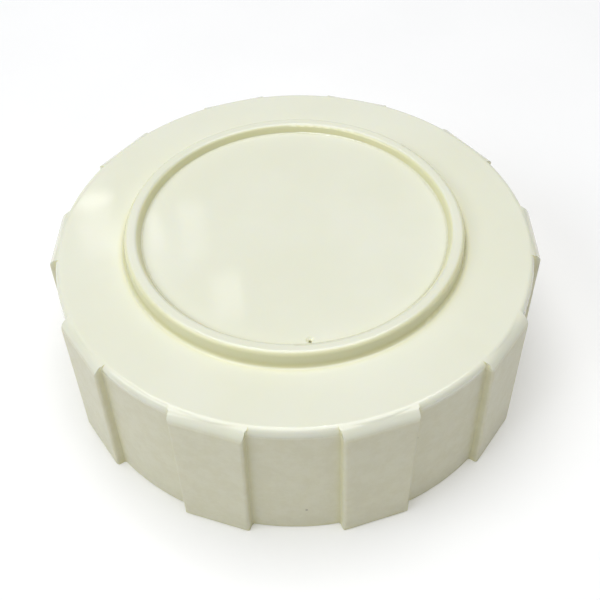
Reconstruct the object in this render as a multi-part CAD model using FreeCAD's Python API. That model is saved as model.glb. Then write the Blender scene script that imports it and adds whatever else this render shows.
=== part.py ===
"""Screw-on deck fill cap: grip shell, threaded liner, two-way vent valve and lanyard swivel.

Millimetres. Z points up through the cap's top; the origin is the centre of the rim that the cap
stands on. The front of the cap, where the vent pinhole is, faces -Y.
"""
import FreeCAD
import Part
import math
import os

from FreeCAD import Vector

OUT_DIR = "parts"
Z_AXIS = Vector(0, 0, 1)
ORIGIN = Vector(0, 0, 0)

# ---- driving dimensions: what several pieces share ----------------------------------------------
EASE = 0.2                 # rounding of moulded edges
BREAK = 0.1                # rounding of small parts' edges
BITE = 0.3                 # how far the features of one moulding run into each other
PAST = 1.0                 # how far a cutter runs past what it cuts
SLIP = 0.05                # clearance round a piece that drops into place

# ---- the shell ----------------------------------------------------------------------------------
PAD_COUNT = 10
PAD_CORNER_R = 38.0        # the pads' outer corners at the rim: the cap's largest radius
TOP_Z = 24.0               # the flat annulus round the raised ring
RING_H = 2.4               # the raised ring above the annulus
DISC_RISE = 1.1            # the label disc's face above the annulus
WALL_R_RIM = 36.7          # outside of the skirt between the pads, at the rim
WALL_R_TOP = 36.08
EDGE_ROUND = 0.85          # round-over from the annulus to the skirt
SKIRT_T = 2.4
TOP_T = 2.6                # the annulus' thickness
RIM_ROUND = 0.4
SKIRT_ROOT_ROUND = 1.0     # inside, where the skirt meets the annulus
WEB_R = 21.3               # the web's flat underside
WEB_FOOT_R = 22.0          # where the annulus' underside runs down to it
SEAT_WALL_IN_R = 19.2      # the wall that the liner's plate bears on
SEAT_WALL_OUT_R = 20.8
LOCATOR_GAP = 0.15         # the ring round the valve body's shoulder
LOCATOR_T = 1.45
LOCATOR_DEPTH = 2.4

RING_OUT_BASE_R = 25.85
RING_OUT_CREST_R = 25.45
RING_IN_CREST_R = 23.7
RING_IN_BASE_R = 23.1      # inside of the ring, where it meets the sill round the disc
SILL_R = 22.9              # inside of that sill, which is flush with the disc
RING_FOOT_ROUND = 0.6      # hollow fillet from the ring to the annulus
RING_CREST_ROUND = 0.7
SILL_ROUND = 0.25          # hollow fillet from the ring to the sill

# ---- grip pads --------------------------------------------------------------------------------
PAD_HALF_ANGLE = 7.62      # degrees, to a pad's outer corner at the rim
PAD_LEAN = 0.8             # how far a pad's face leans inwards from rim to top
PAD_FLARE = 0.18           # how much wider, each side, a pad is at the top
PAD_SIDE_SLOPE = 0.03      # sideways run of a pad's side for each mm that it stands proud
PAD_SHOULDER_R = 2.2
PAD_EDGE_R = 0.45
PAD_FOOT_R = 0.2           # hollow fillet where a pad's side meets the skirt
FOOT_BITE = 0.02           # how far that fillet runs into the skirt, so that the two join cleanly
PAD_ROOT = 1.2             # how far a pad's outline runs into the skirt
PAD_REACH = 9.0            # more than half of a pad's width

# ---- label disc, vent chamber, filter and screen ------------------------------------------------
DISC_T = 1.55
DISC_GAP = 0.01            # a press fit, all but closed
LEDGE_W = 0.7
CHAMBER_DEPTH = 0.9
NOTCH_R = 0.95             # the breather's notch in the ledge, under the pinhole
NOTCH_INSET = 0.5          # how much nearer the middle it is than the pinhole
SCREEN_T = 0.25
SCREEN_GAP = 0.15
SCREEN_HOLE_R = 0.45
SCREEN_RING_STEP = 1.5
SCREEN_RINGS = 7
SCREEN_TWIST = 4.0         # degrees that each ring of holes is turned past the last
FELT_HOLE_R = 0.6
WELL_R = 12.6
WELL_DEPTH = 0.5
BEAD_R = 0.25
PINHOLE_R = 0.22
DIMPLE_R = 0.6             # the shallow cone round the pinhole
DIMPLE_DEPTH = 0.45
PINHOLE_AT_R = 22.25
PINHOLE_ANGLE = -84.2      # degrees from +X, so just right of the front
WEB_Z = 19.9               # underside of the web that carries the vent ports
PORT_R = 1.2
PORT_RING_R = 4.4
PORT_COUNT = 6

# ---- threaded liner -----------------------------------------------------------------------------
LINER_BOTTOM_Z = 1.2
PLATE_Z = 12.9             # underside of the liner's plate
PLATE_T = 2.4
THREAD_MINOR_R = 29.1
THREAD_DEPTH = 1.4
THREAD_PITCH = 3.6
THREAD_GROOVE_W = 1.7      # groove's width at the minor radius
THREAD_ROOT_W = 0.8
THREAD_TURNS = 2.2
THREAD_TOP_Z = 10.0        # where the thread wall ends and the gasket's recess starts
MOUTH_CHAMFER = 0.6
RECESS_R = 30.2
COLLAR_R = 32.4
COLLAR_ROUND = 0.5
FLANGE_R = 33.5
RIB_W = 1.8
RIB_R = 33.0
RIB_BOTTOM_Z = 9.0
RIB_GAP = 0.2
GASKET_BOTTOM_Z = 10.6
GASKET_IN_R = 24.6
GASKET_OUT_R = 29.8
GASKET_BEAD_R = 0.9
GASKET_BEAD_PROUD = 0.3

# ---- screws that hold the liner to the shell ----------------------------------------------------
SCREW_COUNT = 6
SCREW_FIRST_ANGLE = 30
SCREW_RING_R = 21.3
SCREW_R = 1.5
SCREW_HEAD_R = 2.6
SCREW_HEAD_H = 1.5
SCREW_LENGTH = 7.0         # under the head
SCREW_HEAD_ROUND = 0.6
SCREW_POINT = 1.2          # length of the tapered tip
SCREW_TIP_R = 0.4
SCREW_HOLE_GAP = 0.15      # clearance in the liner's plate
PILOT_GAP = 0.02           # the shell's pilot holes grip the screws
SLOT_LENGTH = 2.6
SLOT_W = 0.5
SLOT_DEPTH = 0.9
BOSS_R = 3.1

# ---- vent valve ---------------------------------------------------------------------------------
BODY_BOTTOM_Z = 10.2
BODY_NECK_R = 8.9
BODY_SHOULDER_R = 10.2
BODY_BORE_R = 7.5
SEAT_Z = 11.8              # top of the valve seat
SEAT_HOLE_R = 5.2
PLATE_HOLE_R = 9.1
O_RING_R = 0.5
O_RING_AT_R = 8.55
O_RING_Z = 14.1
O_RING_GROOVE_W = 1.2
O_RING_GROOVE_DEPTH = 0.9
PORT_PLATE_T = 1.2
PORT_BOSS_H = 0.7
PLATE_PORT_R = 0.9
PLATE_PORT_RING_R = 3.3
VALVE_Z = 12.4             # underside of the pressure valve's disc
VALVE_T = 1.0
VALVE_R = 6.9
VALVE_HUB_R = 4.4
VALVE_HUB_Z = 11.5
VALVE_BOSS_T = 0.9
VALVE_BOSS_H = 0.5
VALVE_PORT_R = 0.55
VALVE_PORT_RING_R = 2.7
LUG_COUNT = 4
LUG_FIRST_ANGLE = 45
LUG_W = 1.6
LUG_GAP = 0.08             # between the lugs and the bore
STEM_R = 0.93
STEM_HOLE_R = 1.0
STEM_TOP_Z = 16.1
VACUUM_DISC_R = 3.9
VACUUM_DISC_T = 0.6
RETAINER_R = 2.3
RETAINER_T = 0.6
RETAINER_GAP = 0.01
RETAINER_INSET = 0.8       # from the stem's top down to the retainer's underside
SEAL_T = 0.5
SEAL_GAP = 0.05
SPRING_SEAT_R = 5.2        # the bosses that centre the pressure spring
PRESSURE_SPRING_R = 5.7    # springs' radii are to the middle of the wire
PRESSURE_WIRE_R = 0.35
PRESSURE_TURNS = 4
VACUUM_SPRING_R = 1.6
VACUUM_WIRE_R = 0.2
VACUUM_TURNS = 2.5

# ---- lanyard swivel -----------------------------------------------------------------------------
CLIP_Z = 10.6
CLIP_T = 0.45
CLIP_GROOVE_R = 8.3
CLIP_OUT_R = 10.1
CLIP_MOUTH_W = 5.0
SWIVEL_Z = 11.3
SWIVEL_T = 1.3
SWIVEL_BORE_R = 9.0
SWIVEL_OUT_R = 10.8
EYE_AT_R = 14.3
EYE_OUT_R = 3.1
EYE_HOLE_R = 1.7
ARM_W = 4.4

# ---- worked out from the above ------------------------------------------------------------------
RING_TOP_Z = TOP_Z + RING_H
DISC_TOP_Z = TOP_Z + DISC_RISE
LEDGE_Z = DISC_TOP_Z - DISC_T
CHAMBER_R = SILL_R - LEDGE_W
CHAMBER_Z = LEDGE_Z - CHAMBER_DEPTH
WELL_Z = CHAMBER_Z - WELL_DEPTH
DISC_R = SILL_R - DISC_GAP
BEAD_Z = LEDGE_Z + DISC_T / 2
UNDER_TOP_Z = TOP_Z - TOP_T
SKIRT_IN_R_RIM = WALL_R_RIM - SKIRT_T
SKIRT_IN_R_TOP = WALL_R_TOP - SKIRT_T
PLATE_TOP_Z = PLATE_Z + PLATE_T
VALVE_TOP_Z = VALVE_Z + VALVE_T
PORT_PLATE_Z = WEB_Z - PORT_PLATE_T
VACUUM_SEAL_Z = VALVE_HUB_Z - SEAL_GAP - SEAL_T
RETAINER_Z = STEM_TOP_Z - RETAINER_INSET
SCREW_ANGLES = [SCREW_FIRST_ANGLE + i * 360 / SCREW_COUNT for i in range(SCREW_COUNT)]
PAD_FIRST_ANGLE = -90 + 180 / PAD_COUNT   # a bay, not a pad, is at the front
RIB_FIRST_ANGLE = -90
TOUCH = 1e-6               # closer than this, two points are one


# ---- geometry helpers -----------------------------------------------------------------------------
def polar(radius, degrees, z=0.0):
    """The point at a radius and an angle from +X."""
    angle = math.radians(degrees)
    return Vector(radius * math.cos(angle), radius * math.sin(angle), z)


def even_angles(count, first=0.0):
    """Angles, in degrees, that share a circle evenly."""
    return [first + i * 360.0 / count for i in range(count)]


def rounded_wire(corners, place):
    """A closed wire through (u, v, radius) corners, each one rounded by a tangent arc of its radius.

    place turns a (u, v) pair into a point in space.
    """
    count = len(corners)
    arcs = []
    for i, (u, v, radius) in enumerate(corners):
        here = Vector(u, v, 0)
        back = (Vector(corners[i - 1][0], corners[i - 1][1], 0) - here).normalize()
        following = corners[(i + 1) % count]
        ahead = (Vector(following[0], following[1], 0) - here).normalize()
        if radius == 0:
            arcs.append((here, here, here))
            continue
        half = back.getAngle(ahead) / 2
        reach = radius / math.tan(half)
        inwards = (back + ahead).normalize()
        middle = here + inwards * (radius / math.sin(half) - radius)
        arcs.append((here + back * reach, middle, here + ahead * reach))
    edges = []
    for i, (start, middle, end) in enumerate(arcs):
        spots = [place(p.x, p.y) for p in (start, middle, end)]
        if (spots[2] - spots[0]).Length > TOUCH:
            edges.append(Part.Arc(*spots).toShape())
        after = arcs[(i + 1) % count][0]
        after = place(after.x, after.y)
        if (after - spots[2]).Length > TOUCH:
            edges.append(Part.LineSegment(spots[2], after).toShape())
    return Part.Wire(edges)


def turned(corners):
    """A solid of revolution about Z from (r, z, fillet) corners."""
    wire = rounded_wire(corners, lambda r, z: Vector(r, 0, z))
    return Part.Face(wire).revolve(ORIGIN, Z_AXIS, 360)


def ring(inner_r, outer_r, z0, z1, edge=0.0):
    """A flat ring with its four edges rounded."""
    corners = [(inner_r, z0, edge), (outer_r, z0, edge), (outer_r, z1, edge), (inner_r, z1, edge)]
    return turned(corners)


def disc(radius, z0, z1):
    """A plain cylinder on the Z axis."""
    return Part.makeCylinder(radius, z1 - z0, Vector(0, 0, z0))


def rod(radius, spot, z0, z1):
    """A vertical cylinder at a point's x and y."""
    return Part.makeCylinder(radius, z1 - z0, Vector(spot.x, spot.y, z0))


def rods(radius, ring_r, angles, z0, z1):
    """Equal vertical cylinders on a circle."""
    return [rod(radius, polar(ring_r, angle), z0, z1) for angle in angles]


def fused(first, others):
    """One clean solid from shapes that overlap."""
    return first.fuse(others).removeSplitter()


def turned_about_z(shape, degrees):
    """A copy of a shape, turned about the cap's axis."""
    copy = shape.copy()
    copy.rotate(ORIGIN, Z_AXIS, degrees)
    return copy


def coil(mean_r, wire_r, z0, z1, turns):
    """A compression spring between two planes: a helix of round wire."""
    height = z1 - z0 - 2 * wire_r
    helix = Part.makeHelix(height / turns, height, mean_r)
    helix.translate(Vector(0, 0, z0 + wire_r))
    section = Part.Wire(Part.makeCircle(wire_r, Vector(mean_r, 0, z0 + wire_r), Vector(0, 1, 0)))
    return Part.Wire(helix.Edges).makePipeShell([section], True, True)


# ---- the shell ------------------------------------------------------------------------------------
def shell_body():
    """Skirt, annulus, raised ring, disc seat and vent chamber, turned in one piece."""
    return turned([
        (0, WEB_Z, 0),
        (WEB_R, WEB_Z, EASE),
        (WEB_FOOT_R, UNDER_TOP_Z, EASE),
        (SKIRT_IN_R_TOP, UNDER_TOP_Z, SKIRT_ROOT_ROUND),
        (SKIRT_IN_R_RIM, 0, RIM_ROUND),
        (WALL_R_RIM, 0, RIM_ROUND),
        (WALL_R_TOP, TOP_Z, EDGE_ROUND),
        (RING_OUT_BASE_R, TOP_Z, RING_FOOT_ROUND),
        (RING_OUT_CREST_R, RING_TOP_Z, RING_CREST_ROUND),
        (RING_IN_CREST_R, RING_TOP_Z, RING_CREST_ROUND),
        (RING_IN_BASE_R, DISC_TOP_Z, SILL_ROUND),
        (SILL_R, DISC_TOP_Z, 0),
        (SILL_R, LEDGE_Z, 0),
        (CHAMBER_R, LEDGE_Z, BREAK),
        (CHAMBER_R, CHAMBER_Z, EASE),
        (WELL_R, CHAMBER_Z, BREAK),
        (WELL_R, WELL_Z, BREAK),
        (0, WELL_Z, 0),
    ])


def pad_plan(z):
    """A pad's outline at a height: flat face, rounded corners and a hollow fillet down to the skirt."""
    face_x = PAD_CORNER_R * math.cos(math.radians(PAD_HALF_ANGLE)) - PAD_LEAN * z / TOP_Z
    half = PAD_CORNER_R * math.sin(math.radians(PAD_HALF_ANGLE)) + PAD_FLARE * z / TOP_Z
    side = Vector(-1, PAD_SIDE_SLOPE, 0).normalize()
    outwards = Vector(PAD_SIDE_SLOPE, 1, 0).normalize()
    corner = Vector(face_x, half, 0)
    wall_r = WALL_R_RIM - (WALL_R_RIM - WALL_R_TOP) * z / TOP_Z - FOOT_BITE
    # the foot's circle lies PAD_FOOT_R off the pad's side and off the skirt
    offset = corner + outwards * PAD_FOOT_R
    along = offset.dot(side)
    reach = -along - math.sqrt(along ** 2 - offset.dot(offset) + (wall_r + PAD_FOOT_R) ** 2)
    centre = offset + side * reach
    on_wall = centre * (wall_r / (wall_r + PAD_FOOT_R))
    on_side = centre - outwards * PAD_FOOT_R
    between = centre - (outwards + centre / centre.Length).normalize() * PAD_FOOT_R
    # the corner's rounding leaves the side and the face PAD_EDGE_R from the corner
    inwards = Vector(0, -1, 0)
    half_turn = side.getAngle(inwards) / 2
    round_start = corner + side * PAD_EDGE_R
    round_end = corner + inwards * PAD_EDGE_R
    cut = PAD_EDGE_R * (1 - math.sin(half_turn)) / math.cos(half_turn)
    round_middle = corner + (side + inwards).normalize() * cut
    root = Vector(wall_r - PAD_ROOT, on_wall.y, 0)

    def at(point, mirrored):
        return Vector(point.x, -point.y if mirrored else point.y, z)

    def side_edges(mirrored):
        spots = [at(p, mirrored) for p in
                 (root, on_wall, between, on_side, round_start, round_middle, round_end)]
        return [
            Part.LineSegment(spots[0], spots[1]).toShape(),
            Part.Arc(spots[1], spots[2], spots[3]).toShape(),
            Part.LineSegment(spots[3], spots[4]).toShape(),
            Part.Arc(spots[4], spots[5], spots[6]).toShape(),
        ]

    face_edge = Part.LineSegment(at(round_end, False), at(round_end, True)).toShape()
    root_edge = Part.LineSegment(at(root, True), at(root, False)).toShape()
    left = side_edges(True)
    left.reverse()
    return Part.Wire(side_edges(False) + [face_edge] + left + [root_edge])


def grip_pad():
    """One pad on the +X side, with a round shoulder and softened edges."""
    column = Part.makeLoft([pad_plan(0), pad_plan(TOP_Z)], True, True)
    face_x = PAD_CORNER_R * math.cos(math.radians(PAD_HALF_ANGLE)) + FOOT_BITE
    root_x = WALL_R_TOP - PAD_SHOULDER_R
    profile = rounded_wire([
        (root_x, 0, 0),
        (face_x, 0, PAD_EDGE_R),
        (face_x - PAD_LEAN, TOP_Z, PAD_SHOULDER_R),
        (root_x, TOP_Z, 0),
    ], lambda x, z: Vector(x, -PAD_REACH, z))
    bar = Part.Face(profile).extrude(Vector(0, 2 * PAD_REACH, 0))
    return column.common(bar)


def drive_rib():
    """One rib on the skirt's inside that keys the liner's flange."""
    length = SKIRT_IN_R_RIM + BITE - RIB_R
    height = UNDER_TOP_Z + BITE - RIB_BOTTOM_Z
    return Part.makeBox(length, RIB_W, height, Vector(RIB_R, -RIB_W / 2, RIB_BOTTOM_Z))


def cap_shell():
    """The outer moulding: everything that a hand touches except the label disc."""
    pads = [turned_about_z(grip_pad(), a) for a in even_angles(PAD_COUNT, PAD_FIRST_ANGLE)]
    ribs = [turned_about_z(drive_rib(), a) for a in even_angles(PAD_COUNT, RIB_FIRST_ANGLE)]
    bosses = rods(BOSS_R, SCREW_RING_R, SCREW_ANGLES, PLATE_TOP_Z, UNDER_TOP_Z + EASE)
    seat_wall = ring(SEAT_WALL_IN_R, SEAT_WALL_OUT_R, PLATE_TOP_Z, WEB_Z + BITE)
    locator_r = BODY_SHOULDER_R + LOCATOR_GAP
    locator = ring(locator_r, locator_r + LOCATOR_T, WEB_Z - LOCATOR_DEPTH, WEB_Z + BITE)
    shell = fused(shell_body(), pads)
    shell = fused(shell, ribs + bosses + [seat_wall, locator])
    pilots = rods(SCREW_R + PILOT_GAP, SCREW_RING_R, SCREW_ANGLES, PLATE_TOP_Z - PAST, WEB_Z + EASE)
    ports = rods(PORT_R, PORT_RING_R, even_angles(PORT_COUNT), WEB_Z - PAST, WELL_Z + PAST)
    centre_port = disc(PORT_R, WEB_Z - PAST, WELL_Z + PAST)
    bead_groove = Part.makeTorus(SILL_R, BEAD_R + SLIP, Vector(0, 0, BEAD_Z))
    breather = rod(NOTCH_R, polar(PINHOLE_AT_R - NOTCH_INSET, PINHOLE_ANGLE), CHAMBER_Z, LEDGE_Z + BREAK)
    return shell.cut(pilots + ports + [centre_port, bead_groove, breather])


# ---- top disc and what lies in the vent chamber ---------------------------------------------------
def top_disc():
    """The plain label disc, snapped into the ring by a bead, with the vent pinhole at the front."""
    plate = turned([
        (0, LEDGE_Z, 0),
        (DISC_R, LEDGE_Z, EASE),
        (DISC_R, DISC_TOP_Z, 0),
        (0, DISC_TOP_Z, 0),
    ])
    bead = Part.makeTorus(DISC_R, BEAD_R, Vector(0, 0, BEAD_Z))
    spot = polar(PINHOLE_AT_R, PINHOLE_ANGLE)
    hole = rod(PINHOLE_R, spot, LEDGE_Z - PAST, DISC_TOP_Z + PAST)
    # the cone is twice as high as the dimple is deep, so that half of it stands above the disc
    dimple = Part.makeCone(0, 2 * DIMPLE_R, 2 * DIMPLE_DEPTH,
                           Vector(spot.x, spot.y, DISC_TOP_Z - DIMPLE_DEPTH))
    return fused(plate, [bead]).cut([hole, dimple])


def insect_screen():
    """A thin perforated disc over the ports, in rings of small holes."""
    sheet = disc(WELL_R - SCREEN_GAP, WELL_Z, WELL_Z + SCREEN_T)
    holes = []
    for step in range(1, SCREEN_RINGS + 1):
        angles = even_angles(6 * step, SCREEN_TWIST * step)
        holes += rods(SCREEN_HOLE_R, SCREEN_RING_STEP * step, angles, WELL_Z - PAST, WELL_Z + PAST)
    return sheet.cut(holes)


def vent_filter():
    """The felt pad that keeps spray and insects out of the valve."""
    return ring(FELT_HOLE_R, WELL_R - 2 * SCREEN_GAP, WELL_Z + SCREEN_T + SLIP, LEDGE_Z - BREAK, EASE)


# ---- liner, gasket and screws ---------------------------------------------------------------------
def thread_groove():
    """The coarse female thread: a trapezoid swept up a helix and out of the collar's mouth."""
    start_z = LINER_BOTTOM_Z - THREAD_PITCH / 2
    helix = Part.makeHelix(THREAD_PITCH, THREAD_PITCH * THREAD_TURNS, THREAD_MINOR_R)
    helix.translate(Vector(0, 0, start_z))
    inner = THREAD_MINOR_R - BITE
    root = THREAD_MINOR_R + THREAD_DEPTH
    outline = [
        Vector(inner, 0, start_z - THREAD_GROOVE_W / 2),
        Vector(root, 0, start_z - THREAD_ROOT_W / 2),
        Vector(root, 0, start_z + THREAD_ROOT_W / 2),
        Vector(inner, 0, start_z + THREAD_GROOVE_W / 2),
    ]
    section = Part.makePolygon(outline + [outline[0]])
    return Part.Wire(helix.Edges).makePipeShell([section], True, True)


def threaded_liner():
    """The inner closure: a threaded collar under a keyed plate."""
    liner = turned([
        (PLATE_HOLE_R, PLATE_Z, EASE),
        (RECESS_R, PLATE_Z, EASE),
        (RECESS_R, THREAD_TOP_Z, 0),
        (THREAD_MINOR_R, THREAD_TOP_Z, EASE),
        (THREAD_MINOR_R, LINER_BOTTOM_Z + MOUTH_CHAMFER, 0),
        (THREAD_MINOR_R + MOUTH_CHAMFER, LINER_BOTTOM_Z, 0),
        (COLLAR_R, LINER_BOTTOM_Z, COLLAR_ROUND),
        (COLLAR_R, PLATE_Z, 0),
        (FLANGE_R, PLATE_Z, EASE),
        (FLANGE_R, PLATE_TOP_Z, EASE),
        (PLATE_HOLE_R, PLATE_TOP_Z, EASE),
    ])
    corner = Vector(RIB_R - RIB_GAP, -RIB_W / 2 - RIB_GAP, PLATE_Z - PAST)
    notch = Part.makeBox(FLANGE_R + PAST - corner.x, -2 * corner.y, PLATE_T + 2 * PAST, corner)
    notches = [turned_about_z(notch, a) for a in even_angles(PAD_COUNT, RIB_FIRST_ANGLE)]
    holes = rods(SCREW_R + SCREW_HOLE_GAP, SCREW_RING_R, SCREW_ANGLES, PLATE_Z - PAST, PLATE_TOP_Z + PAST)
    return liner.cut(notches + holes).cut(thread_groove())


def sealing_gasket():
    """The rubber ring that the filler neck's lip presses into, with one raised sealing bead."""
    middle = (GASKET_IN_R + GASKET_OUT_R) / 2
    body = ring(GASKET_IN_R, GASKET_OUT_R, GASKET_BOTTOM_Z + GASKET_BEAD_PROUD, PLATE_Z, BITE)
    bead = Part.makeTorus(middle, GASKET_BEAD_R, Vector(0, 0, GASKET_BOTTOM_Z + GASKET_BEAD_R))
    return fused(body, [bead])


def liner_screw():
    """One pan-head screw with a cross slot, head down, at the +X end of its circle."""
    head_z = PLATE_Z - SCREW_HEAD_H
    tip_z = PLATE_Z + SCREW_LENGTH
    screw = turned([
        (0, head_z, 0),
        (SCREW_HEAD_R, head_z, SCREW_HEAD_ROUND),
        (SCREW_HEAD_R, PLATE_Z, BREAK),
        (SCREW_R, PLATE_Z, 0),
        (SCREW_R, tip_z - SCREW_POINT, 0),
        (SCREW_TIP_R, tip_z, 0),
        (0, tip_z, 0),
    ])
    corner = Vector(-SLOT_LENGTH / 2, -SLOT_W / 2, head_z - PAST)
    slot = Part.makeBox(SLOT_LENGTH, SLOT_W, PAST + SLOT_DEPTH, corner)
    screw = screw.cut([slot, turned_about_z(slot, 90)])
    screw.translate(Vector(SCREW_RING_R, 0, 0))
    return screw


def liner_screws():
    """All the screws that hold the liner up into the shell's bosses."""
    return Part.Compound([turned_about_z(liner_screw(), a) for a in SCREW_ANGLES])


# ---- vent valve -----------------------------------------------------------------------------------
def valve_body():
    """The stepped tube, clamped between plate and web, that holds the valve seat."""
    clip_groove_top_z = CLIP_Z + CLIP_T + SLIP
    seal_groove_z = O_RING_Z - O_RING_GROOVE_W / 2
    seal_groove_top_z = O_RING_Z + O_RING_GROOVE_W / 2
    seal_groove_r = BODY_NECK_R - O_RING_GROOVE_DEPTH
    return turned([
        (SEAT_HOLE_R, BODY_BOTTOM_Z, EASE),
        (BODY_NECK_R, BODY_BOTTOM_Z, EASE),
        (BODY_NECK_R, CLIP_Z, 0),
        (CLIP_GROOVE_R, CLIP_Z, 0),
        (CLIP_GROOVE_R, clip_groove_top_z, 0),
        (BODY_NECK_R, clip_groove_top_z, 0),
        (BODY_NECK_R, seal_groove_z, 0),
        (seal_groove_r, seal_groove_z, BREAK),
        (seal_groove_r, seal_groove_top_z, BREAK),
        (BODY_NECK_R, seal_groove_top_z, 0),
        (BODY_NECK_R, PLATE_TOP_Z, 0),
        (BODY_SHOULDER_R, PLATE_TOP_Z, 0),
        (BODY_SHOULDER_R, WEB_Z, EASE),
        (BODY_BORE_R, WEB_Z, EASE),
        (BODY_BORE_R, SEAT_Z, BREAK),
        (SEAT_HOLE_R, SEAT_Z, EASE),
    ])


def body_seal():
    """The O-ring that seals the valve body in the liner's plate."""
    return Part.makeTorus(O_RING_AT_R, O_RING_R, Vector(0, 0, O_RING_Z))


def port_plate():
    """The snap-in plate that closes the valve body, with its ring of vent ports."""
    plate = disc(BODY_BORE_R - SLIP, PORT_PLATE_Z, WEB_Z)
    boss = disc(SPRING_SEAT_R, PORT_PLATE_Z - PORT_BOSS_H, PORT_PLATE_Z)
    ports = rods(PLATE_PORT_R, PLATE_PORT_RING_R, even_angles(PORT_COUNT), PORT_PLATE_Z - PAST, WEB_Z + PAST)
    return fused(plate, [boss]).cut(ports)


def pressure_spring():
    """The spring that holds the pressure valve on its seat."""
    return coil(PRESSURE_SPRING_R, PRESSURE_WIRE_R, VALVE_TOP_Z, PORT_PLATE_Z, PRESSURE_TURNS)


def pressure_valve():
    """The disc that lifts when the tank's air expands; four lugs guide it in the bore."""
    plate = disc(VALVE_R, VALVE_Z, VALVE_TOP_Z)
    hub = disc(VALVE_HUB_R, VALVE_HUB_Z, VALVE_Z)
    spring_boss = ring(SPRING_SEAT_R - VALVE_BOSS_T, SPRING_SEAT_R,
                       VALVE_TOP_Z - BREAK, VALVE_TOP_Z + VALVE_BOSS_H)
    lug_start = Vector(VALVE_R - BITE, -LUG_W / 2, VALVE_Z)
    lug = Part.makeBox(BODY_BORE_R - lug_start.x, LUG_W, VALVE_T, lug_start)
    lugs = [turned_about_z(lug, a) for a in even_angles(LUG_COUNT, LUG_FIRST_ANGLE)]
    guide = disc(BODY_BORE_R - LUG_GAP, VALVE_HUB_Z, VALVE_TOP_Z + VALVE_BOSS_H)
    valve = fused(plate, [hub, spring_boss] + lugs).common(guide)
    ports = rods(VALVE_PORT_R, VALVE_PORT_RING_R, even_angles(PORT_COUNT),
                 VALVE_HUB_Z - PAST, VALVE_TOP_Z + PAST)
    return valve.cut(ports + [disc(STEM_HOLE_R, VALVE_HUB_Z - PAST, VALVE_TOP_Z + PAST)])


def pressure_seal():
    """The rubber ring under the pressure valve."""
    seal_z = SEAT_Z + SEAL_GAP
    return ring(VALVE_HUB_R + SLIP, VALVE_R - EASE, seal_z, seal_z + SEAL_T, BREAK)


def vacuum_valve():
    """The small poppet, hung through the pressure valve, that opens when the tank draws air in."""
    return turned([
        (0, VACUUM_SEAL_Z - VACUUM_DISC_T, 0),
        (VACUUM_DISC_R, VACUUM_SEAL_Z - VACUUM_DISC_T, EASE),
        (VACUUM_DISC_R, VACUUM_SEAL_Z, BREAK),
        (STEM_R, VACUUM_SEAL_Z, 0),
        (STEM_R, STEM_TOP_Z, EASE),
        (0, STEM_TOP_Z, 0),
    ])


def vacuum_seal():
    """The rubber washer on the vacuum valve."""
    return ring(STEM_HOLE_R, VACUUM_DISC_R - BREAK, VACUUM_SEAL_Z, VACUUM_SEAL_Z + SEAL_T, BREAK)


def stem_retainer():
    """The push-on cap that keeps the vacuum spring on the stem."""
    return ring(STEM_R + RETAINER_GAP, RETAINER_R, RETAINER_Z, RETAINER_Z + RETAINER_T, BREAK)


def vacuum_spring():
    """The light spring that holds the vacuum valve shut."""
    return coil(VACUUM_SPRING_R, VACUUM_WIRE_R, VALVE_TOP_Z, RETAINER_Z, VACUUM_TURNS)


# ---- lanyard swivel -------------------------------------------------------------------------------
def flat_at(edge, z):
    """Whether an edge lies in the level plane at z."""
    box = edge.BoundBox
    return abs(box.ZMin - z) < TOUCH and abs(box.ZMax - z) < TOUCH


def lanyard_swivel():
    """The ring round the valve body's neck, with the eye that the lanyard ties to."""
    z0, z1 = SWIVEL_Z, SWIVEL_Z + SWIVEL_T
    eye_spot = Vector(0, -EYE_AT_R, 0)
    collar = disc(SWIVEL_OUT_R, z0, z1)
    eye = rod(EYE_OUT_R, eye_spot, z0, z1)
    arm = Part.makeBox(ARM_W, EYE_AT_R, SWIVEL_T, Vector(-ARM_W / 2, -EYE_AT_R, z0))
    solid = fused(collar, [eye, arm])
    solid = solid.makeFillet(EASE, [e for e in solid.Edges if flat_at(e, z0) or flat_at(e, z1)])
    bore = disc(SWIVEL_BORE_R, z0 - PAST, z1 + PAST)
    hole = rod(EYE_HOLE_R, eye_spot, z0 - PAST, z1 + PAST)
    return solid.cut([bore, hole])


def retaining_clip():
    """The open spring-steel ring, sprung into the body's groove, that carries the swivel."""
    z0 = CLIP_Z + SLIP / 2
    z1 = z0 + CLIP_T
    clip = disc(CLIP_OUT_R, z0, z1).cut(disc(CLIP_GROOVE_R + SLIP, z0 - PAST, z1 + PAST))
    mouth = Part.makeBox(CLIP_MOUTH_W, CLIP_OUT_R + PAST, CLIP_T + 2 * PAST,
                         Vector(-CLIP_MOUTH_W / 2, 0, z0 - PAST))
    return clip.cut(mouth)


BUILDERS = [
    cap_shell, top_disc, vent_filter, insect_screen, threaded_liner, liner_screws, sealing_gasket,
    valve_body, body_seal, port_plate, pressure_spring, pressure_valve, pressure_seal,
    vacuum_valve, vacuum_seal, stem_retainer, vacuum_spring, lanyard_swivel, retaining_clip,
]


def main():
    """Write one STEP file for each piece."""
    os.makedirs(OUT_DIR, exist_ok=True)
    for builder in BUILDERS:
        shape = builder()
        name = builder.__name__
        print(f"{name}: valid {shape.isValid()}, {len(shape.Solids)} solid(s), {shape.Volume:.1f} mm3")
        shape.exportStep(os.path.join(OUT_DIR, name + ".step"))


main()
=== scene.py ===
"""Looks for the deck fill cap: materials, the two springs, floor, studio light and camera."""
import math

import bmesh
import bpy
from mathutils import Matrix, Vector


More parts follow.
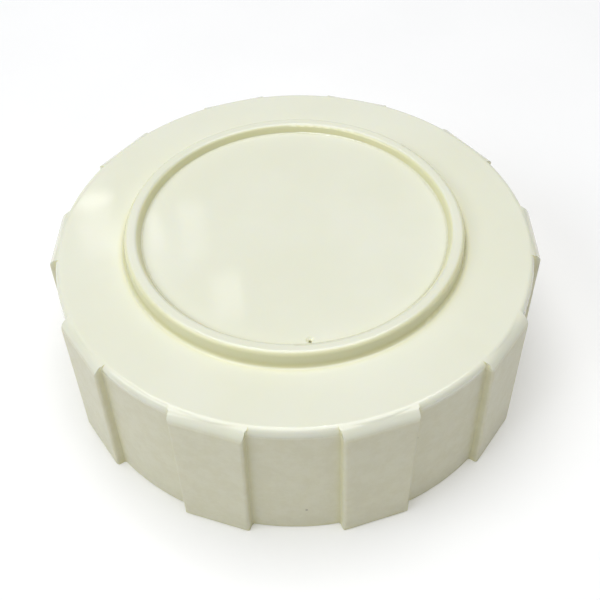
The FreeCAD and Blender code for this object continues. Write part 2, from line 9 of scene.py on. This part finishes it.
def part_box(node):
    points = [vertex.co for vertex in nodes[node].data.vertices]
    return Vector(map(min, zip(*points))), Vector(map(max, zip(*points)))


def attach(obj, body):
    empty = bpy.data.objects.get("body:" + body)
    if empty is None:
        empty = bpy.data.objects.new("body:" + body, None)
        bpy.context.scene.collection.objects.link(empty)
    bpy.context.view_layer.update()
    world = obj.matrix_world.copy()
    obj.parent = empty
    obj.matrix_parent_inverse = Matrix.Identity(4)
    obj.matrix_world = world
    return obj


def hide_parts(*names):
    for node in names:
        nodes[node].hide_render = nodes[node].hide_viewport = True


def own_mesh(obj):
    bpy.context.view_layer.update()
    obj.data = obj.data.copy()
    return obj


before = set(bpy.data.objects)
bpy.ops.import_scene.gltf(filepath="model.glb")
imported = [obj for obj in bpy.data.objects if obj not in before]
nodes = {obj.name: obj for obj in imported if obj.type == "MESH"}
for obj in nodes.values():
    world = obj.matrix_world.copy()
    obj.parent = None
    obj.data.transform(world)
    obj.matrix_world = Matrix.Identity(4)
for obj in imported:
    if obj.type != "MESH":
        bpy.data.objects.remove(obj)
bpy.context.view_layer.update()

MM = 0.001


# ---- node-graph helpers ---------------------------------------------------------------------------
class Graph:
    """A material and short ways to add nodes to it."""

    def __init__(self, name):
        self.material = bpy.data.materials.new(name)
        self.material.use_nodes = True
        self.tree = self.material.node_tree
        self.shader = self.tree.nodes["Principled BSDF"]
        self.coords = self.add("ShaderNodeTexCoord").outputs["Object"]

    def add(self, kind, **settings):
        node = self.tree.nodes.new(kind)
        for key, value in settings.items():
            setattr(node, key, value)
        return node

    def link(self, source, target):
        self.tree.links.new(source, target)

    def stretched(self, scale):
        """The object's coordinates, scaled unevenly."""
        mapping = self.add("ShaderNodeMapping")
        mapping.inputs["Scale"].default_value = scale
        self.link(self.coords, mapping.inputs["Vector"])
        return mapping.outputs["Vector"]

    def noise(self, size, detail=2.0, roughness=0.5, coords=None):
        """Noise whose blobs are about size metres across, from 0 to 1."""
        node = self.add("ShaderNodeTexNoise")
        node.inputs["Scale"].default_value = 1.0 / size
        node.inputs["Detail"].default_value = detail
        node.inputs["Roughness"].default_value = roughness
        self.link(coords or self.coords, node.inputs["Vector"])
        return node.outputs["Fac"]

    def remap(self, source, low, high, out_low=0.0, out_high=1.0, smooth=True):
        """source's stretch from low to high, taken to out_low to out_high and clamped."""
        node = self.add("ShaderNodeMapRange")
        node.interpolation_type = "SMOOTHSTEP" if smooth else "LINEAR"
        node.inputs["From Min"].default_value = low
        node.inputs["From Max"].default_value = high
        node.inputs["To Min"].default_value = out_low
        node.inputs["To Max"].default_value = out_high
        self.link(source, node.inputs["Value"])
        return node.outputs["Result"]

    def maths(self, operation, first, second):
        node = self.add("ShaderNodeMath", operation=operation)
        for socket, value in zip(node.inputs, (first, second)):
            if isinstance(value, (int, float)):
                socket.default_value = value
            else:
                self.link(value, socket)
        return node.outputs["Value"]

    def mix_colours(self, factor, first, second):
        node = self.add("ShaderNodeMix", data_type="RGBA")
        sockets = (node.inputs["Factor"], node.inputs[6], node.inputs[7])
        for socket, value in zip(sockets, (factor, first, second)):
            if isinstance(value, (int, float)):
                socket.default_value = value
            elif isinstance(value, tuple):
                socket.default_value = (*value, 1.0)
            else:
                self.link(value, socket)
        return node.outputs[2]

    def mix_values(self, factor, first, second):
        node = self.add("ShaderNodeMix", data_type="FLOAT")
        for socket, value in zip((node.inputs["Factor"], node.inputs[2], node.inputs[3]),
                                 (factor, first, second)):
            self.link(value, socket)
        return node.outputs[0]

    def height(self):
        """Height above the rim, in metres, in the cap's own frame."""
        split = self.add("ShaderNodeSeparateXYZ")
        self.link(self.coords, split.inputs["Vector"])
        return split.outputs["Z"]

    def radius(self):
        """Distance from the cap's axis, in metres."""
        node = self.add("ShaderNodeVectorMath", operation="LENGTH")
        self.link(self.stretched((1.0, 1.0, 0.0)), node.inputs[0])
        return node.outputs["Value"]

    def bump(self, heights):
        """Bumps from (height source, depth in metres) pairs, one after the other."""
        normal = None
        for source, depth in heights:
            node = self.add("ShaderNodeBump")
            node.inputs["Strength"].default_value = 1.0
            node.inputs["Distance"].default_value = depth
            self.link(source, node.inputs["Height"])
            if normal is not None:
                self.link(normal, node.inputs["Normal"])
            normal = node.outputs["Normal"]
        self.link(normal, self.shader.inputs["Normal"])

    def set(self, **values):
        """Plain values on the shader's own sockets, spaces in their names as underscores."""
        for key, value in values.items():
            self.shader.inputs[key.replace("_", " ")].default_value = value

    def colour(self, source):
        self.link(source, self.shader.inputs["Base Color"])

    def roughness(self, source):
        self.link(source, self.shader.inputs["Roughness"])


# ---- materials ------------------------------------------------------------------------------------
CREAM_DEEP = (0.835, 0.842, 0.69)
CREAM_PALE = (0.86, 0.868, 0.735)
# the skirt's cream, painted darker and yellower as shade on its walls; its two tones mottle at random
SKIRT_SHADED_DEEP = (0.72, 0.695, 0.505)
SKIRT_SHADED_PALE = (0.755, 0.735, 0.555)
# painted shade: the darker, yellower colour of corners and creases
CREVICE_SHADE = (0.80, 0.76, 0.33)
# painted shade: a yellow tint, and how much of it, on the raised ring's shaded slopes
RING_SLOPE_SHADE = (0.90, 0.88, 0.50)
RING_SLOPE_SHADE_SHARE = 0.62
# radii in millimetres where that painted shade starts, is full, starts to fade and ends, on the
# raised ring's inner and outer slope
RING_SHADE_SLOPES = ((23.10, 23.25, 23.60, 23.85), (24.90, 25.40, 25.85, 26.35))
ANNULUS_Z = 24.0 * MM
RING_FOOT_Z = 24.15 * MM
DUST = (0.20, 0.17, 0.10)
SKIRT_BELOW = 22.2 * MM    # the grained skirt reaches up to here, and fades out up to GLOSS_ABOVE
GLOSS_ABOVE = 23.2 * MM
GLOSS = (0.045, 0.085)     # roughness, least and most
MATT = (0.36, 0.48)
SHADE_REACH = 1.3 * MM     # corners narrower than this get more painted shade, darker and yellower
SPECK_SPACING = 7 * MM
SPECK_SIZE = (0.018, 0.036)  # core and edge, as parts of the spacing
SPECK_STRENGTH = 0.6
# how much of the painted crevice shade the skirt and the disc get
SKIRT_CREVICE_SHADE_SHARE = 0.4
DISC_CREVICE_SHADE_SHARE = 0.4
GLOSS_GRAIN_SHARE = 0.02   # how much of the skirt's grain the gloss surfaces have


def cream_plastic(name, skirt):
    """Injection-moulded cream plastic: a gloss top and, on the skirt, a fine spark-eroded grain."""
    g = Graph(name)
    cloudy = g.noise(22 * MM, 3.0, 0.55)
    cloudy = g.remap(cloudy, 0.3, 0.7)
    base = g.mix_colours(cloudy, CREAM_DEEP, CREAM_PALE)
    if skirt:
        on_skirt = g.remap(g.height(), SKIRT_BELOW, GLOSS_ABOVE, 1.0, 0.0)
        # painted shade: the skirt's walls get a darker, yellower cream, mottled at random between two
        # tones
        mottled = g.remap(g.noise(2.2 * MM, 4.0, 0.7), 0.35, 0.65)
        base = g.mix_colours(on_skirt, base, g.mix_colours(mottled, SKIRT_SHADED_DEEP, SKIRT_SHADED_PALE))
        # painted shade on the raised ring's inner and outer slopes, growing with height above the
        # annulus
        ring_shade_height = g.remap(g.height(), ANNULUS_Z, RING_FOOT_Z, 0.0, RING_SLOPE_SHADE_SHARE)
        for start, full, fade, end in RING_SHADE_SLOPES:
            rising = g.remap(g.radius(), start * MM, full * MM)
            falling = g.remap(g.radius(), fade * MM, end * MM, 1.0, 0.0)
            slope_shade = g.maths("MULTIPLY", g.maths("MULTIPLY", rising, falling), ring_shade_height)
            base = g.mix_colours(slope_shade, base, RING_SLOPE_SHADE)

    # painted shade: ambient occlusion finds corners and creases, which are tinted darker and yellower
    occlusion = g.add("ShaderNodeAmbientOcclusion", samples=8)
    occlusion.inputs["Distance"].default_value = SHADE_REACH
    crevice_shade = g.remap(occlusion.outputs["AO"], 0.5, 1.0, 0.9, 0.0)
    if skirt:
        shade_share = g.maths("SUBTRACT", 1.0, g.maths("MULTIPLY", on_skirt, 1.0 - SKIRT_CREVICE_SHADE_SHARE))
    else:
        shade_share = DISC_CREVICE_SHADE_SHARE
    crevice_shade = g.maths("MULTIPLY", crevice_shade, shade_share)
    base = g.mix_colours(crevice_shade, base, CREVICE_SHADE)

    if skirt:
        specks = g.add("ShaderNodeTexVoronoi", feature="F1")
        specks.inputs["Scale"].default_value = 1.0 / SPECK_SPACING
        g.link(g.coords, specks.inputs["Vector"])
        dot = g.remap(specks.outputs["Distance"], *SPECK_SIZE, 1.0, 0.0)
        dot = g.maths("MULTIPLY", g.maths("MULTIPLY", dot, on_skirt), SPECK_STRENGTH)
        base = g.mix_colours(dot, base, DUST)
    g.colour(base)

    swirl = g.noise(9 * MM, 3.0, 0.6)
    waves = g.noise(30 * MM, 1.0, 0.4)
    grain = g.noise(0.22 * MM, 3.0, 0.65)
    gloss = g.remap(swirl, 0.3, 0.7, *GLOSS)
    if skirt:
        matt = g.remap(grain, 0.3, 0.7, *MATT)
        g.roughness(g.mix_values(on_skirt, gloss, matt))
        grain_share = g.maths("ADD", on_skirt, GLOSS_GRAIN_SHARE)
    else:
        g.roughness(gloss)
        grain_share = GLOSS_GRAIN_SHARE
    grain = g.maths("MULTIPLY", grain, grain_share)
    g.bump([(waves, 0.05 * MM), (swirl, 0.004 * MM), (grain, 0.02 * MM)])
    g.set(Subsurface_Weight=0.25, Subsurface_Radius=(1.0, 0.85, 0.45), Subsurface_Scale=1.2 * MM,
          Specular_IOR_Level=0.5, IOR=1.49)
    return g.material


def matt_plastic(name, dark, pale, rough=(0.42, 0.58)):
    """Engineering plastic with a fine tool grain."""
    g = Graph(name)
    cloudy = g.noise(6 * MM, 3.0, 0.6)
    g.colour(g.mix_colours(g.remap(cloudy, 0.3, 0.7), dark, pale))
    grain = g.noise(0.3 * MM, 4.0, 0.6)
    g.roughness(g.remap(grain, 0.3, 0.7, *rough))
    g.bump([(cloudy, 0.02 * MM), (grain, 0.010 * MM)])
    g.set(IOR=1.48)
    return g.material


def rubber(name, dark, pale):
    """Moulded rubber: matt, with a bloom and a fine pebble."""
    g = Graph(name)
    bloom = g.noise(3.5 * MM, 4.0, 0.65)
    g.colour(g.mix_colours(g.remap(bloom, 0.4, 0.75), dark, pale))
    pebble = g.noise(0.18 * MM, 3.0, 0.6)
    g.roughness(g.remap(bloom, 0.3, 0.7, 0.55, 0.75))
    g.bump([(bloom, 0.015 * MM), (pebble, 0.012 * MM)])
    g.set(IOR=1.5)
    return g.material


def stainless(name, stretch=(1.0, 1.0, 6.0)):
    """Stainless steel with a fine drawn grain and faint stains."""
    g = Graph(name)
    grain = g.noise(0.12 * MM, 4.0, 0.6, g.stretched(stretch))
    stain = g.noise(2.5 * MM, 3.0, 0.6)
    g.colour(g.mix_colours(g.remap(stain, 0.35, 0.75), (0.60, 0.60, 0.59), (0.46, 0.45, 0.43)))
    g.roughness(g.remap(grain, 0.3, 0.7, 0.22, 0.38))
    g.bump([(grain, 0.004 * MM)])
    g.set(Metallic=1.0)
    return g.material


def felt(name):
    """Needled felt: crossing fibres and a soft sheen."""
    g = Graph(name)
    along = g.noise(0.10 * MM, 4.0, 0.7, g.stretched((0.25, 1.6, 1.0)))
    across = g.noise(0.10 * MM, 4.0, 0.7, g.stretched((1.6, 0.25, 1.0)))
    fibres = g.maths("MAXIMUM", along, across)
    g.colour(g.mix_colours(g.remap(fibres, 0.4, 0.7), (0.50, 0.49, 0.44), (0.80, 0.79, 0.74)))
    g.bump([(fibres, 0.10 * MM)])
    g.set(Roughness=0.92, Sheen_Weight=0.3)
    return g.material


# ---- springs --------------------------------------------------------------------------------------
STEPS_PER_TURN = 72
WIRE_SIDES = 14
END_FLATNESS = 0.35        # 0 for an even helix; at 1 the coil's very ends would be level
PRESSURE_WIRE_R = 0.35 * MM
PRESSURE_TURNS = 4.0
VACUUM_WIRE_R = 0.20 * MM
VACUUM_TURNS = 2.5


def spring_wire(name, node, wire_r, turns, material):
    """A coil of round wire with closed ends, in the space that a CAD spring fills."""
    low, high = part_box(node)
    mean_r = (high.x - low.x) / 2 - wire_r
    bottom, top = low.z + wire_r, high.z - wire_r
    steps = int(turns * STEPS_PER_TURN)
    mesh = bmesh.new()
    rows = []
    for step in range(steps + 1):
        part = step / steps
        angle = part * turns * 2 * math.pi
        # the coil rises more slowly near its ends, as on a closed-end spring
        rise = part - END_FLATNESS * math.sin(2 * math.pi * part) / (2 * math.pi)
        centre = Vector((mean_r * math.cos(angle), mean_r * math.sin(angle),
                         bottom + (top - bottom) * rise))
        outwards = Vector((math.cos(angle), math.sin(angle), 0))
        row = []
        for side in range(WIRE_SIDES):
            turn = side / WIRE_SIDES * 2 * math.pi
            row.append(mesh.verts.new(centre + outwards * (wire_r * math.cos(turn))
                                      + Vector((0, 0, wire_r * math.sin(turn)))))
        rows.append(row)
    for lower, upper in zip(rows, rows[1:]):
        for side in range(WIRE_SIDES):
            after = (side + 1) % WIRE_SIDES
            mesh.faces.new((lower[side], lower[after], upper[after], upper[side]))
    mesh.faces.new(list(reversed(rows[0])))
    mesh.faces.new(rows[-1])
    bmesh.ops.recalc_face_normals(mesh, faces=mesh.faces)
    data = bpy.data.meshes.new(name)
    mesh.to_mesh(data)
    mesh.free()
    for face in data.polygons:
        face.use_smooth = len(face.vertices) == 4
    spring = bpy.data.objects.new(name, data)
    bpy.context.scene.collection.objects.link(spring)
    spring.data.materials.append(material)
    return spring


def fit_spring(spring, node, body):
    """Puts a spring in a CAD spring's place and hangs it on its body."""
    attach(spring, body)
    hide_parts(node)
    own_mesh(spring)


# ---- the cap's materials on its nodes -------------------------------------------------------------
cream_shell = cream_plastic("cream_shell", skirt=True)
cream_disc = cream_plastic("cream_disc", skirt=False)
natural = matt_plastic("natural_plastic", (0.70, 0.70, 0.64), (0.80, 0.80, 0.75))
black = matt_plastic("black_acetal", (0.018, 0.018, 0.020), (0.035, 0.035, 0.038), (0.30, 0.46))
red = matt_plastic("red_acetal", (0.42, 0.045, 0.025), (0.52, 0.07, 0.04), (0.28, 0.42))
black_rubber = rubber("black_rubber", (0.012, 0.012, 0.012), (0.045, 0.045, 0.043))
brown_rubber = rubber("brown_rubber", (0.10, 0.030, 0.014), (0.17, 0.06, 0.03))
steel = stainless("stainless_steel")
screen_steel = stainless("screen_steel", (1.0, 6.0, 1.0))
felt_pad = felt("filter_felt")

FINISHES = {
    "cap_shell": cream_shell,
    "top_disc": cream_disc,
    "threaded_liner": natural,
    "sealing_gasket": black_rubber,
    "liner_screws": steel,
    "insect_screen": screen_steel,
    "vent_filter": felt_pad,
    "valve_body": black,
    "body_seal": brown_rubber,
    "port_plate": black,
    "pressure_spring": steel,
    "pressure_valve": red,
    "pressure_seal": brown_rubber,
    "vacuum_valve": red,
    "vacuum_seal": brown_rubber,
    "stem_retainer": black,
    "vacuum_spring": steel,
    "lanyard_swivel": black,
    "retaining_clip": steel,
}
for node, finish in FINISHES.items():
    data = nodes[node].data
    data.materials.clear()
    data.materials.append(finish)

pressure_coil = spring_wire("pressure_coil", "pressure_spring", PRESSURE_WIRE_R, PRESSURE_TURNS, steel)
vacuum_coil = spring_wire("vacuum_coil", "vacuum_spring", VACUUM_WIRE_R, VACUUM_TURNS, steel)
fit_spring(pressure_coil, "pressure_spring", "cap")
fit_spring(vacuum_coil, "vacuum_spring", "pressure_poppet")


# ---- floor, light and camera ----------------------------------------------------------------------
FLOOR_R = 1.4              # metres
LAMP_DISTANCE = 0.9        # of every lamp from AIM
AIM = Vector((0, 0, 20 * MM))


def floor_plane():
    """A plain pale floor."""
    mesh = bmesh.new()
    bmesh.ops.create_circle(mesh, cap_ends=True, segments=96, radius=FLOOR_R)
    data = bpy.data.meshes.new("floor")
    mesh.to_mesh(data)
    mesh.free()
    floor = bpy.data.objects.new("floor", data)
    bpy.context.scene.collection.objects.link(floor)
    g = Graph("pale_floor")
    mottle = g.noise(40 * MM, 2.0)
    g.colour(g.mix_colours(g.remap(mottle, 0.3, 0.7), (0.96, 0.96, 0.96), (0.98, 0.98, 0.98)))
    g.set(Roughness=0.9, Emission_Color=(1.0, 1.0, 1.0, 1.0), Emission_Strength=0.06)
    data.materials.append(g.material)


def area_light(name, azimuth, elevation, size, power, colour=(1, 1, 1), roll=0):
    """A lamp on a sphere round the cap. Azimuth 0 is behind the cap, positive to the left."""
    light = bpy.data.lights.new(name, "AREA")
    light.shape = "RECTANGLE"
    light.size, light.size_y = size
    light.energy = power
    light.color = colour
    turn, lift = math.radians(azimuth), math.radians(elevation)
    away = Vector((-math.sin(turn) * math.cos(lift), math.cos(turn) * math.cos(lift), math.sin(lift)))
    place = AIM + LAMP_DISTANCE * away
    holder = bpy.data.objects.new(name, light)
    holder.location = place
    facing = (AIM - place).to_track_quat("-Z", "Y").to_matrix()
    holder.rotation_euler = (facing @ Matrix.Rotation(math.radians(roll), 3, "Z")).to_euler()
    bpy.context.scene.collection.objects.link(holder)


# azimuth and elevation in degrees, width and height in metres, radiance: the bright parts of a window
# behind the cap, whose reflections lie on the left of the annulus and of the disc
WINDOW_PANES = (
    (21.3, 41.4, 0.042, 0.062, 1.4),
    (20.7, 39.5, 0.036, 0.005, 12.0),
    (15.7, 42.8, 0.014, 0.045, 1.5),
    (12.0, 43.1, 0.030, 0.070, 0.9),
    (9.3, 48.6, 0.036, 0.052, 1.6),
)


def surroundings(strength, seen):
    """A plain, nearly white sky: a faint fill on the cap, and pale where it is seen past the floor."""
    world = bpy.data.worlds.new("studio")
    world.use_nodes = True
    tree = world.node_tree
    background = tree.nodes["Background"]
    background.inputs["Color"].default_value = (1.0, 0.99, 0.97, 1.0)
    blend = tree.nodes.new("ShaderNodeMapRange")
    blend.inputs["To Min"].default_value = strength
    blend.inputs["To Max"].default_value = seen
    path = tree.nodes.new("ShaderNodeLightPath")
    tree.links.new(path.outputs["Is Camera Ray"], blend.inputs["Value"])
    tree.links.new(blend.outputs["Result"], background.inputs["Strength"])
    bpy.context.scene.world = world


def photo_camera():
    """The camera, close above the front, a little to the right and tilted by about a degree."""
    place = Vector((2.34, -94.62, 114.73)) * MM
    aim = Vector((0.615, 0.0, 8.385)) * MM
    roll = math.radians(-1.37)
    data = bpy.data.cameras.new("camera")
    data.sensor_width = 36.0
    data.lens = 51.36
    data.clip_start = 0.01
    camera = bpy.data.objects.new("camera", data)
    turned = (aim - place).to_track_quat("-Z", "Y").to_matrix().to_4x4()
    camera.matrix_world = Matrix.Translation(place) @ turned @ Matrix.Rotation(roll, 4, "Z")
    bpy.context.scene.collection.objects.link(camera)
    bpy.context.scene.camera = camera


bpy.context.scene.view_settings.view_transform = "Standard"
floor_plane()
surroundings(strength=0.02, seen=0.75)
for count, (azimuth, elevation, width, height, radiance) in enumerate(WINDOW_PANES, 1):
    area_light(f"window_pane_{count}", azimuth, elevation, (width, height),
               radiance * math.pi * width * height)
area_light("ceiling_strip", 21, 65, (0.42, 0.02), 0.35, roll=-46)
area_light("zenith_softbox", 0, 90, (0.9, 0.9), 8.35)
area_light("left_softbox", 115, 40, (0.6, 0.35), 2.2, (0.91, 0.95, 1.0))
photo_camera()
